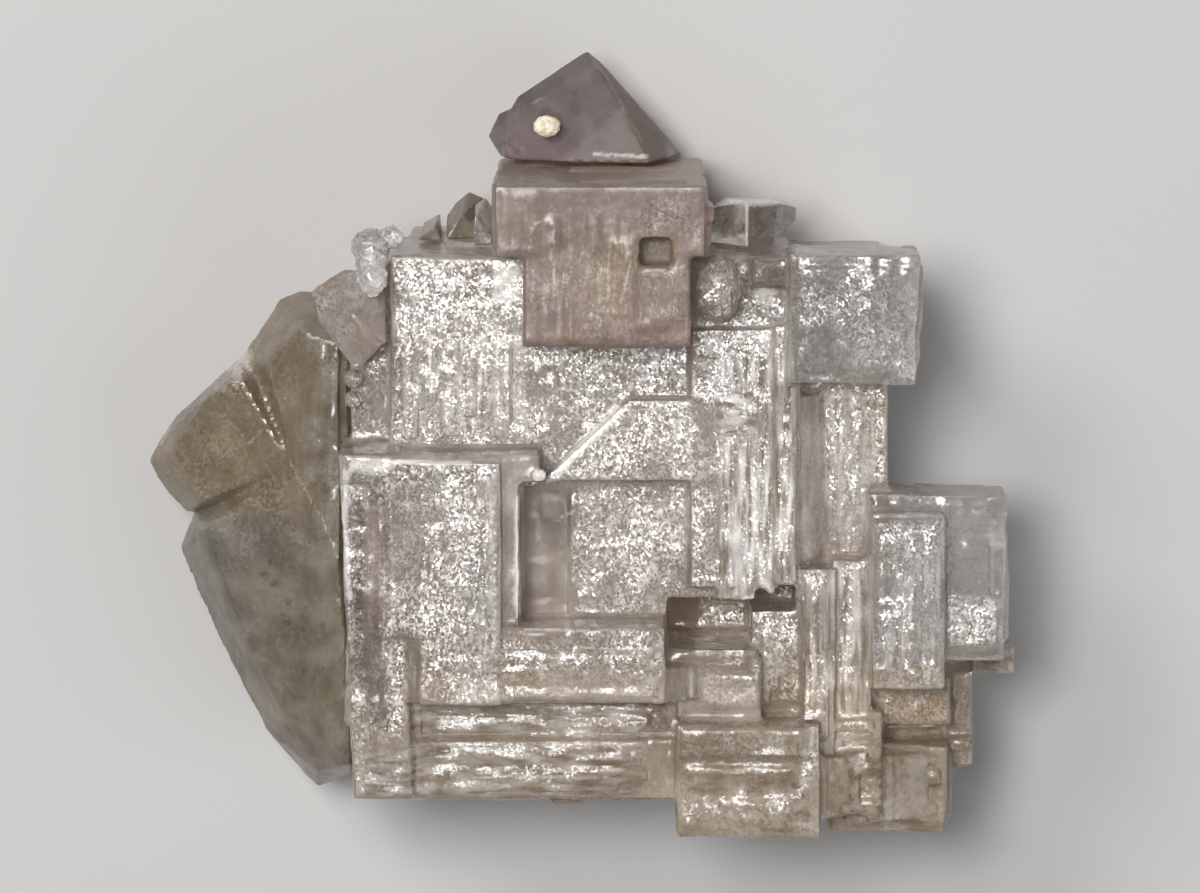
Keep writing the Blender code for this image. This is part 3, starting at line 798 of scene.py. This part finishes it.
# Most of these are painted highlights on lit corners, edges, rims and crests; the rest, white
# crust.
MAIN_WHITE = {
    "rim corner in full light": ((-16.1, -12.9, -0.7, 0.35), 0.95, 0.8),
    "below it": ((-16, -13.6, -3.6, -0.4), 0.45, 2),
    "rim's outer edge": (along(0.5, (-16.2, -0.5), (-16.3, -3.9), (-16, -9.5)), 0.7),
    "window's rim": (along(0.34, (-4.4, -2.4), (-4.45, -9.7), (-4.3, -10.6)), 1),
    "window's foot": (along(0.28, (-3.9, -11.45), (1.3, -11.5), (3, -11.45)), 0.5),
    "plateau's edge": (along(0.3, (-12.8, 0.2), (-9.7, 0.1), (-7.6, 0.15)), 0.9),
    "lines on the upper face": (along(0.28, (-10.5, 8.5), (-10.5, 5.9)), 0.8),
    "a second line": (along(0.28, (-6.6, 6.3), (-6.5, 4.5)), 0.7),
    "white bead": ((-3.4, -2.2, -1.3, -0.2, 23.95, 25), 0.8),
    "upper face in full light": ((-6.2, -4.1, 10.6, 13.7), 0.75),
    "by the rounded crystal": ((8.2, 9.9, 7.2, 8.6), 0.65),
    "beside it": ((11.8, 13.6, 10.6, 11.9), 0.6),
    "cut corner's edge": (along(0.7, (-2.2, -1.6), (-0.1, 0.6), (2.6, 3.3)), 0.75),
    "strip's bright line": ((-11.8, 4.2, -19.9, -19.5, 22.4, 23.2), 0.5),
    "faint line by the window": (along(0.28, (-1.8, -4.6), (0.6, -3.3)), 0.6),
    "pit's crest": ((9.6, 11, -10.8, -9.3, 0, 18), 0.8),
    "pit's lower wall": ((8.4, 10.6, -13.6, -12.9, 15, 20), 0.35, 1),
    "under the rose crystal": ((8, 9.2, 5.3, 7), 0.5),
    "upper face below it": ((0, 8, 4.3, 8.3), 0.22, 1.5),
    "plateau's bright middle": ((-10.2, -6.4, -15.6, -1.5), 0.28, 2),
    "pit block": ((12.2, 15.4, -16.2, -12.2), 0.42, 1),
    "columns": ((15.6, 18, -20, -8), 0.22, 1),
}
MAIN_DENSE = {
    "lower end": ((-16.5, 30, -27, -15), 0.25, 2),
    "back walls": 0.22, "left walls": 0.12, "right walls": 0.12, "lower walls": 0.12,
    "arm's side": 0.35, "rim's smooth end": 0.35, "rim's smooth back": 0.35, "window": 0.5,
    "left rim": ((-15, -13.5, -17.9, -2.5), 0.35),
}
MAIN_DARK = {
    "left rim": ((-16.4, -13, -18, -1.5), 0.4, 1),
    "window": 0.34,
    "upper rim": ((-16.2, -2.7, -1.3, 0.9), 0.27),
    "clear upper cube": 0.22, "clear lower cube": 0.08,
    "rim's mauve streak": (along(1.1, *MAUVE_PATH), 0.46),
    # painted shade in the corner under the plateau
    "corner under the plateau": (along(1.4, (-12.2, -11), (-12, -15.8), (-10.8, -17.3),
                                       (-6.5, -17.7)), 0.48),
    "line beside the arm": (along(0.35, (-5.55, 0.3), (-5.55, -12.1)), 0.3),
    "cavity's crack": (along(0.4, (12.2, -9.7), (11.4, -11.1), (11.1, -11.8)), 0.6),
    "upper face's left edge": (along(0.7, (-13.1, 13), (-13.2, 10.6)), 0.45),
    "mauve patch below it": (along(0.9, (-12.9, 7.4), (-12.7, 4.3), (-12.8, 2.6)), 0.35),
    "crack in the pit block": (along(0.3, (14.5, -17.1), (15.4, -17.5)), 0.8),
    "nested lines": (along(0.3, (10, -21.4), (10, -23.4), (14.5, -23.9)), 0.35),
    "slanting line": (along(0.3, (10.3, -21.4), (12.7, -22.8), (15.5, -22.7)), 0.3),
    "specks": (along(0.5, (24.3, -24.3), (24.2, -24.2)), 0.75),
    "more specks": (along(0.4, (23.5, -24), (22.6, -25.2)), 0.35),
    "bubble": (ring(0.28, (23, -14.9), 0.55), 0.45),
    "small bubble": (ring(0.25, (20.9, -15.1), 0.42), 0.35),
    "knob": (ring(0.5, (5.2, -17.9), 0.35), 0.5),
    "lower strip": 0.32,
    "ledge": ((-12.3, 6.6, -19.3, -16.6), 0.3),
    "foot cube": 0.34, "lower right blocks": 0.2, "back walls": 0.12, "right walls": 0.05,
    "left walls": 0.05, "lower walls": 0.05,
    "dissolved pit": ((5.8, 8.6, -13.2, -9, 0, 18), 0.08),
    # painted shade in the pits, the spur's hollow and on the step under the plateau
    "side pit": 0.4,
    "upper cube's pit": ((15.4, 17.8, 8, 10.5), 0.22),
    "spur's hollow": ((27.6, 29.2, -15.7, -14.4), 0.8),
    "step under the plateau": ((-12.3, -11.2, -18, -9.7), 0.3),
    "foot cube's lower right": ((13.2, 16.6, -26.3, -23.6), 0.3),
    "corner cube's end": ((22.5, 25.8, -26.8, -21.5), 0.35),
    "low block's edge": ((25.6, 27.6, -22.8, -16.8), 0.35),
}
MAIN_WARM = {
    "lower end": ((-16.5, 30, -27, -13), 0.52, 4),
    "ledge": ((-12, 6.5, -19.3, -16.5), 0.45),
    "strip's right half": ((-2, 6.9, -23.6, -19.4), 0.55),
    "sill": ((6.7, 12.6, -18.4, -13.9), 0.4),
    "foot cube": ((6.6, 16.6, -26.3, -18.4), 0.7),
    "lower right blocks": ((16.8, 27.5, -27, -16), 0.72),
    "dissolved pit": ((5.8, 11.9, -13.2, -9, 0, 19), 0.75),
    "side pit": 0.6,
    "column's right edge": ((20, 21.5, -7.6, 4.3), 0.5),
    "rounded brown patch": ((13.5, 15.8, -17.8, -16.6), 0.9),
    "under the plateau's corner": ((-12.4, -9.4, -18.6, -16.4), 0.7),
    "window": 0.35,
}
MAIN_ROSE = {
    "top side": ((-12.2, -3.9, 13.6, 15.5), 0.75),
    "back walls": 0.22, "arm's side": 0.55, "rim's smooth end": 0.62, "rim's smooth back": 0.62,
    "window": 0.6,
    "left rim": (along(2, (-14.6, -2.5), *MAUVE_PATH[1:]), 0.9),
    "strip's corner": ((-14.5, -11, -23.4, -20.5), 0.45),
    "corner step": ((11.4, 14.3, 11.6, 14.2), 0.75),
    "side pit": 0.5,
    "upper face's left edge": ((-13.4, -12.4, 1.2, 14.4), 0.4),
}
MAIN_COOL = {
    "clear upper cube": 0.32,
    "clear lower cube": ((20, 29.9, -14.2, -2.1), 0.3),
    "its right edge": ((28.2, 30, -14, -2.1), 0.4),
    "plateau's bluish side": ((-8.4, -6, -16, -5), 0.25),
}
MAIN_STAIN = {
    "stained block": ((20.9, 25.7, -19.3, -17.1, 0, 18.5), 0.28),
    "its strongest part": ((23.7, 25.6, -19.1, -18.1, 0, 18.5), 0.65),
    "column's brown end": ((16.5, 19.8, -7.6, -6.4), 0.12),
}
MAIN_TRAITS = {
    "frost": MAIN_FROST, "upright": MAIN_UPRIGHT, "level": MAIN_LEVEL, "white": MAIN_WHITE,
    "dense": MAIN_DENSE, "dark": MAIN_DARK, "warm": MAIN_WARM, "rose": MAIN_ROSE,
    "cool": MAIN_COOL, "stain": MAIN_STAIN,
}


def build_main():
    clear_halite = salt("clear_halite_finish", (0.88, 0.82, 0.76), (0.68, 0.60, 0.53),
                        (0.78, 0.69, 0.60), 20.0, clear=0.84, frosted=0.70, gloss=0.15)
    crystal("main_crystal", "clear_halite", clear_halite, 0.225, {"frost": 0.5}, MAIN_TRAITS,
            MAIN_STEPS, MAIN_BALLS, share=0.58, Swell=0.20, Groove_Depth=0.24, Pit_Depth=0.11)


# ---- the other big crystals

SMOKY_TRAITS = {
    "frost": {
        "tip": ((-31, -22, -5.5, 6.5), 0.26, 3),
        "crumbs along the top": ((-27.5, -22, 3.6, 7), 0.95, 1),
        "shoulder": ((-24, -16.5, -1, 10.6), 0.24, 3),
        "foot": ((-29, -16, -26, -7), 0.16, 3),
    },
    "upright": {"shoulder": ((-20.6, -17.2, -7, 8), 0.4, 2)},
    "white": {
        "crumbs along the top": ((-26.4, -23, 4.4, 6.6), 0.6, 1),
        # painted highlights along the long edge, the facet's edge and the tip
        "long edge": (along(0.25, (-20.5, -0.9), (-18.1, -4.9), (-17, -7.6)), 0.45),
        "groove": (along(0.3, (-19, 6.6), (-17.8, 4.3), (-17, 2.2)), 0.15),
        "facet's edge": (along(0.25, (-25.1, 1.9), (-23.3, 0.1), (-22.4, 1.1)), 0.4),
        "tip": (along(0.6, (-29.9, -0.5), (-29.3, 0.6)), 0.45),
    },
    "warm": {
        "tip": ((-31, -19, -5, 11), 0.6, 3),
        "foot": ((-29, -16, -26, -8), 0.12, 3),
    },
    "dark": {
        "dark facet": (along(1.5, (-24, 1.3), (-23.4, 1.2)), 0.3),
        "yellow-brown patch": ((-28.5, -25.5, 0, 3.8), 0.3, 1.5),
        "blotch on the tip": ((-26.6, -24, -2.6, -0.4), 0.26, 1.2),
        "second blotch": ((-25, -22.6, 2.2, 4.4), 0.22, 1),
        "third blotch": ((-22.6, -20.4, 4.6, 7.6), 0.24, 1.2),
        "band under the tip": (along(0.8, (-27.6, -5.6), (-24.6, -4.6), (-21.6, -2.6)), 0.2),
        "glassy middle": ((-23.4, -19.4, -8, 2.2), 0.15, 2.5),
        "line in the foot": (along(0.6, (-26.2, -7.8), (-25.1, -10.3), (-24.2, -12.9),
                                   (-23.5, -15.5), (-21.2, -18.3)), 0.3),
        "smudge": (along(2, (-21, -18.6), (-19, -19)), 0.2),
        "speck": (along(0.4, (-22.2, -9.1), (-22.1, -9)), 0.6),
        "second speck": (along(0.45, (-21.6, -9.8), (-21.5, -9.7)), 0.7),
        "third speck": (along(0.4, (-20.7, -12.6), (-20.6, -12.5)), 0.6),
        "fourth speck": (along(0.35, (-20.6, -11.1), (-20.6, -11)), 0.6),
        "fifth speck": (along(0.35, (-18.1, -12.6), (-18.1, -12.5)), 0.6),
        "sixth speck": (along(0.35, (-21.8, -8.3), (-21.8, -8.2)), 0.6),
    },
    "cool": {"foot's left": ((-29, -23, -16, -5), 0.18, 4)},
    "rose": {"foot's middle": ((-24, -19, -12, -5), 0.2, 3)},
}
SMOKY_FILLS = [
    ((-17.4, -16.3), (-6.5, 6.8), (2, 14.6)),  # grown onto the big crystal's side
    ((-17.4, -16), (-20.5, -7.5), (2, 13.2)),
]

ROSE_STEPS = [
    ((-5.3, -2.9), (14.8, 18.9), (25, 26.08)),
    ((-3.9, 7.4), (8.5, 13.8), (24, 25.99)),  # head and apron are one crystal
    ((-3.9, 3.9), (13, 15.5), (24, 25.99)),
    ((6.3, 7.4), (13, 15.5), (24, 25.99)),
    ((1.2, 6.9), (9.6, 13.5), (25, 26.03)),
    ((2.2, 3.7), (10.4, 15.6), (25, 26.09)),
    ((-2.3, -1.6), (15.2, 17.1), (25, 26.12)),  # a raised blister
    ((8.2, 8.95), (15.2, 16.7), (20, 25.3)),  # chips at its right edge
    ((8.3, 9.1), (16.9, 17.9), (22, 25.7)),
    *wall_steps(52, 1, 19.4, (-5.6, 8.2), (4.4, 25.4), 8, (0.08, 0.22)),
    *wall_steps(53, 0, -5.9, (14.7, 19.2), (4.4, 25.4), 5, (-0.22, -0.08)),
    *wall_steps(54, 0, 8.5, (14.7, 19.2), (4.4, 25.4), 5, (0.08, 0.22)),
    *wall_steps(55, 1, 8.3, (-3.8, 7.3), (20.6, 25.2), 5, (-0.22, -0.08)),
]
ROSE_TRAITS = {
    "frost": {
        "front": ((-4.2, 7.6, 8.2, 15), 0.22, 2),
        "flecks": ((0.6, 4, 9, 15), 0.34, 2),
        "flecked corner": ((4, 8.4, 15.8, 19), 0.3, 2),
        "walls": ((-8, 10, 8, 21, 0, 25), 0.24),
    },
    "upright": {
        "whole": ((-6, 8.8, 8, 17.4, 25.2, 27), 0.4),
        "left walls": 0.5, "right walls": 0.5,
    },
    "level": {"steps by the pit": ((3.6, 6.4, 9, 13.5), 0.25, 1), "back walls": 0.5},
    "rose": {
        "top band": ((-5, 8.8, 16.8, 20), 0.6, 1.5),
        "left side": ((-6, -2.6, 8, 18), 0.35, 2),
    },
    "stain": {"reddish top band": ((-0.5, 8.6, 18, 20.5, 4, 22), 0.22, 1)},
    "dense": {"pit": ((3.9, 6.3, 13.8, 15.9, 20, 25.2), 0.85)},
    "warm": {
        "pit": ((3.6, 6.6, 13.6, 16.2), 0.6),
        "olive middle": ((0.9, 3.3, 10.2, 16.6), 0.65, 0.9),
    },
    "dark": {
        # painted shade on the deep floor of the pit and its left side
        "pit": ((3.9, 6.3, 13.8, 15.9, 20, 25.2), 0.85),
        "pit's left": ((3.2, 4.2, 13.8, 15.6), 0.3),
        "inner contour": (along(0.6, (1.2, 16.9), (1.2, 13.8), (0.8, 11), (1.7, 9.8)), 0.3),
        "right contour": (along(0.4, (3.4, 15.9), (3.7, 14.6), (3.2, 12.9), (2.7, 11.5)), 0.2),
        "blister's side": (along(0.3, (-1.5, 17.2), (-1.5, 15.4)), 0.35),
        "lower step": (along(0.4, (-2.6, 8.9), (7.4, 8.9)), 0.3),
    },
    "white": {
        "crack": (along(0.22, (-3.6, 15.9), (-3.1, 16.9), (-2, 17.2), (-1.8, 15.3),
                        (-2.1, 14.9), (-1.8, 13.2), (-1.9, 11.6)), 0.5),
        "faint cracks": (along(0.2, (-1.2, 13.4), (-1, 11.6), (-0.8, 10)), 0.55),
        "crack by the pit": (along(0.35, (3, 15.8), (3.4, 14.3), (3, 12.6), (2.7, 11.4)), 0.45),
        "chips along the top": (along(0.3, (1.6, 19.2), (7.4, 19.2)), 0.35),
        "right edge": ((6.4, 7.7, 8.6, 14), 0.28),
    },
}

LILAC_TRAITS = {
    "frost": {
        "chip": ((-7, -4.3, 19, 24), 0.3, 1),
        "chipped edge": ((6, 7.6, 19.4, 22.6), 0.8),
    },
    "upright": {"left face": ((-5, 3, 19.5, 27.5), 0.2, 2)},
    "rose": {"lower edge": ((-6, 7.5, 19.4, 20.6), 0.6, 1)},
    "warm": {"right face": ((2.8, 7.4, 19.5, 27), 0.35, 2)},
    "cool": {"left face": ((-3.5, 1, 22, 27.5), 0.15, 2)},
    "dark": {
        # painted shade on the right face, turned from the light
        "right face": ((3, 7.4, 19.4, 25), 0.22, 1.5),
        # a painted shadow of the cream grain on the face under it
        "under the grain": (along(1.1, (-2.5, 22.8), (-1.9, 22.5)), 0.55),
        "crack": (along(0.25, (-1.1, 24.6), (-0.5, 24.3), (-0.6, 23.5)), 0.35),
    },
    "white": {
        # painted highlight along the arris
        "arris": (along(0.25, (0.4, 27.2), (1.9, 25.2), (2.9, 23.5), (4.2, 21.2)), 0.4),
        "chips at the foot": (along(0.35, (0.9, 20.3), (4.6, 20.2)), 0.6),
        "small veil": (along(0.3, (-3.4, 23.6), (-2.6, 24)), 0.3),
    },
}


def build_big_crystals():
    smoky = salt("smoky_halite_finish", (0.61, 0.55, 0.45), (0.30, 0.26, 0.195),
                 (0.66, 0.58, 0.46), 85.0, clear=0.72, gloss=0.22, coat=0.2, speckle=0.5)
    crystal("smoky_crystal", "smoky_halite", smoky, 0.25, {"frost": 0.30}, SMOKY_TRAITS,
            SMOKY_FILLS, Terrace_Height=0.10, Swell=0.45, Pit_Depth=0.12,
            Patch_Size=1.6, Cloud_Size=2.3, seed=4)
    rose = salt("rose_halite_finish", (0.58, 0.44, 0.365), (0.39, 0.285, 0.225),
                (0.82, 0.68, 0.61), 32.0, clear=0.72, gloss=0.32, matt=0.38, facet=0.13,
                coat=0.2)
    crystal("rose_crystal", "rose_halite", rose, 0.22, {"frost": 0.10}, ROSE_TRAITS, ROSE_STEPS,
            Terrace_Height=0.03, Swell=0.16, Cloud_Size=2.2, seed=7)
    lilac = salt("lilac_halite_finish", (0.40, 0.31, 0.32), (0.24, 0.18, 0.18),
                 (0.68, 0.55, 0.58), 150.0, clear=0.76, gloss=0.55, coat=0.1)
    crystal("lilac_crystal", "lilac_halite", lilac, 0.17, {"frost": 0.05}, LILAC_TRAITS,
            Terrace_Height=0.03, Swell=0.15, Cloud_Size=2.0, seed=9)
    wedge = salt("wedge_halite_finish", (0.68, 0.61, 0.55), (0.50, 0.43, 0.38),
                 (0.74, 0.66, 0.60), 60.0, clear=0.75, gloss=0.35, coat=0.2)
    crystal("wedge_crystal", "rose_halite", wedge, 0.14, {"frost": 0.45}, {},
            Terrace_Height=0.10, Swell=0.35, seed=10)
    for node, slot, seed in (("grey_crystal_tall", "smoky_halite", 11),
                             ("grey_crystal_low", "smoky_halite", 12)):
        crystal(node, slot, smoky, 0.11, {"frost": 0.25, "rose": 0.2}, {},
                Terrace_Height=0.06, Swell=0.2, seed=seed)


# ---- the small crystals

def crumbs(seed, balls, count, size, reach):
    """Small turned cubes scattered over balls, each given by its centre and radii.

    reach is how far out they sit, as a share of the radii.
    """
    draw = random.Random(seed)
    boxes = []
    for _ in range(count):
        middle, radii = draw.choice(balls)
        way = Vector([draw.gauss(0.0, 1.0) for _ in range(3)]).normalized()
        spans = []
        for axis in range(3):
            at = middle[axis] + way[axis] * radii[axis] * reach
            half = draw.uniform(*size) / 2
            spans.append((at - half, at + half))
        boxes.append((*spans, draw.uniform(0.0, 90.0)))
    return boxes


FROSTED_BALLS = (
    ((-14.6, 14.6, 19.3), (1.1, 1, 1)), ((-14.5, 13.7, 20.2), (1, 0.8, 0.8)),
    ((-14.4, 12.5, 20.7), (0.9, 1, 0.7)), ((-13, 15.2, 19.4), (0.6, 0.5, 0.6)),
)
ROUNDED_BALLS = (((9.4, 11.8, 22), (1.2, 1.7, 1.3)),)
CREAM_BALL = (((-2.4, 22.2, 10.9), (0.8, 0.6, 0.4)),)

SMALL_TRAITS = {
    "prism_crystal": {
        # painted highlights on the bright edge and the rims
        "white": {"bright edge": (along(0.2, (11.5, 14), (11.5, 17.5)), 0.9),
                  "upper rim": ((9, 15.2, 17, 17.6), 0.8),
                  "lower rim": ((9, 15.2, 13.9, 14.3), 0.5)},
        "dark": {"panel": ((9.6, 10.9, 14.9, 16.4), 0.3),
                 "second": ((12.2, 13, 14.8, 16.2), 0.25)},
        "frost": {"left end": ((8.6, 9.6, 14, 17.6), 0.5),
                  "right end": ((13.6, 15.4, 14, 17.6), 0.45)},
    },
    "rounded_crystal": {
        "frost": {"crown": (facing((0, 0, 1), 0.72), 1.1)},
        # painted shade: the base's dark stays on its sides and leaves the upward crown
        "dark": {"crown": (facing((0, 0, 1), 0.72), 0)},
    },
}


def build_small_crystals():
    glassy = salt("small_halite_finish", (0.92, 0.88, 0.84), (0.70, 0.64, 0.60),
                  (0.80, 0.74, 0.69), 22.0)
    looks = {
        "prism_crystal": (0.11, {"frost": 0.16}, 0.03, 0.08),
        "rounded_crystal": (0.10, {"frost": 0.3, "warm": 0.25, "dark": 0.18}, 0.08, 0.25),
        "grey_crystal_pale": (0.09, {"frost": 0.4}, 0.05, 0.15),
        "bead_crystal_upper": (0.06, {"frost": 0.15}, 0.02, 0.10),
        "bead_crystal_lower": (0.06, {"frost": 0.15}, 0.02, 0.10),
    }
    for seed, (node, (voxel, base, terrace, swell)) in enumerate(looks.items(), 20):
        lumps = crumbs(5, ROUNDED_BALLS, 20, (0.6, 1.1), 0.85) if node == "rounded_crystal" else ()
        crystal(node, "small_halite", glassy, voxel, base, SMALL_TRAITS.get(node, {}), lumps,
                Terrace_Height=terrace, Swell=swell, seed=seed)
    frosted = salt("frosted_grain_finish", (0.82, 0.80, 0.79), (0.56, 0.54, 0.53),
                   (0.85, 0.82, 0.80), 40.0, frosted=0.62, coat=0.1)
    crystal("frosted_grain", "white_grain", frosted, 0.09, {"frost": 0.6, "dense": 0.3}, {},
            crumbs(6, FROSTED_BALLS, 60, (0.4, 0.85), 0.85),
            Terrace_Height=0.05, Swell=0.30, Pit_Depth=0.25, seed=31)
    crystal("cream_grain", "cream_grain", cream(), 0.06, {"frost": 0.5}, {},
            crumbs(7, CREAM_BALL, 24, (0.2, 0.45), 0.6),
            Terrace_Height=0.03, Swell=0.25, Pit_Depth=0.3, seed=33)


def cream():
    """The dull cream crust of the grain on the lilac crystal."""
    material, g = new_material("cream_grain_finish")
    where = g.add("ShaderNodeTexCoord").outputs["Object"]
    grit = g.noise(where, 0.35, 4.0, 0.65)
    dirt = g.noise(where, 0.9, 2.0, 0.5)
    tint = g.blend(g.span(grit, 0.35, 0.65), rgb(0.62, 0.52, 0.36), rgb(0.90, 0.85, 0.72))
    tint = g.blend(g.span(dirt, 0.60, 0.70), tint, rgb(0.16, 0.11, 0.07))
    bump = g.add("ShaderNodeBump", {"Strength": 0.7, "Distance": 0.15 * MM, "Height": grit})
    shader = g.add("ShaderNodeBsdfPrincipled", {
        "Base Color": tint, "Roughness": g.span(grit, 0.3, 0.7, 0.85, 0.6), "Normal": bump})
    g.add("ShaderNodeOutputMaterial", {"Surface": shader})
    return material


# ---- what is sealed inside

# name, whose last word is its material: slot, middle, size, count, smallest and largest fleck
SEALED = {
    "upper_cube_veil": ("clear_halite", (18.8, 9.8, 19.6), (7, 7.2, 2.6), 170, 0.05, 0.17),
    "lower_cube_veil": ("clear_halite", (27.2, -8.4, 17.3), (3.6, 9.5, 3), 150, 0.05, 0.17),
    "window_veil": ("clear_halite", (-2.5, -7, 16.6), (2.8, 8.6, 2.4), 60, 0.05, 0.15),
    "smoky_specks": ("smoky_halite", (-20.6, -11.5, 9), (4.6, 8, 3.6), 70, 0.07, 0.22),
    "smoky_veil": ("smoky_halite", (-23.5, 0.5, 8.5), (5, 5, 4), 90, 0.06, 0.2),
    "lilac_veil": ("lilac_halite", (0.6, 22.6, 7.4), (3.2, 3, 1.8), 50, 0.05, 0.14),
    "prism_veil": ("small_halite", (12, 15.5, 12.4), (3.6, 1.2, 2.4), 24, 0.05, 0.12),
}


def build_sealed():
    materials = {"veil": plain("veil_finish", (0.93, 0.91, 0.88), 0.4, 0.3),
                 "specks": plain("speck_finish", (0.13, 0.06, 0.04), 0.6, 0.0)}
    for seed, (name, values) in enumerate(SEALED.items(), 60):
        slot, middle, size, count, smallest, largest = values
        made = add_object(name, bpy.data.meshes.new(name))
        run_tree(made, FLECKS, materials[name.split("_")[-1]], **{
            "Count": count, "Width": size[0] * MM, "Depth": size[1] * MM, "Height": size[2] * MM,
            "Smallest": smallest * MM, "Largest": largest * MM, "Seed": seed})
        made.data.transform(Matrix.Translation((Vector(middle) + MIDDLE) * MM))
        settle(made, slot)


# ---- the scene

def build_scene():
    build_camera()
    build_lamps()
    build_sky()
    build_floor()
    build_main()
    build_big_crystals()
    build_small_crystals()
    build_sealed()
    limit_light()


build_scene()
